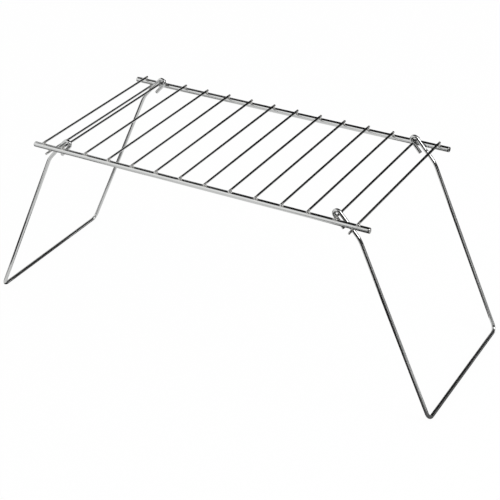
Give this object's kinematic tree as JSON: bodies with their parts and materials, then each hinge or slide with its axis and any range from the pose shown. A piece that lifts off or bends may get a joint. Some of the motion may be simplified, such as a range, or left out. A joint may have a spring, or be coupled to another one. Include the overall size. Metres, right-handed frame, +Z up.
{
  "type": "folding campfire grill grate",
  "caption": "Folding campfire grill grate of bright plated steel wire, with cross rods on two side rails and a fold-away wire leg at each end.",
  "frame": {"origin": "on the ground under the middle of the grate, with both legs open", "axes": "+X along the side rails towards the right leg, +Y towards the back rail, +Z up"},
  "size_m": [0.435, 0.1722, 0.1732],
  "materials": {
    "rail_plate": "bright plating on drawn steel wire, 4.8 mm",
    "rod_plate": "bright plating on drawn steel wire, 2 mm",
    "leg_plate": "bright plating on drawn and bent steel wire, 3.2 mm"
  },
  "bodies": {
    "grate": {"rail_front": "rail_plate", "rail_back": "rail_plate", "cross_rod_01": "rod_plate", "cross_rod_02": "rod_plate", "cross_rod_03": "rod_plate", "cross_rod_04": "rod_plate", "cross_rod_05": "rod_plate", "cross_rod_06": "rod_plate", "cross_rod_07": "rod_plate", "cross_rod_08": "rod_plate", "cross_rod_09": "rod_plate", "cross_rod_10": "rod_plate", "cross_rod_11": "rod_plate", "cross_rod_12": "rod_plate", "cross_rod_13": "rod_plate", "cross_rod_14": "rod_plate", "stop_rod_left": "rod_plate", "stop_rod_right": "rod_plate"},
    "leg_left": {"leg_left": "leg_plate"},
    "leg_right": {"leg_right": "leg_plate"}
  },
  "joints": [
    {"name": "leg_right_fold", "type": "hinge", "parent": "grate", "child": "leg_right", "pos_m": [0.12898, 0, 0.1678], "axis": [0, 1, 0], "range_deg": [0, 116.5]},
    {"name": "leg_left_fold", "type": "hinge", "parent": "grate", "child": "leg_left", "pos_m": [-0.12898, 0, 0.1678], "axis": [0, -1, 0], "range_deg": [0, 114]}
  ]
}
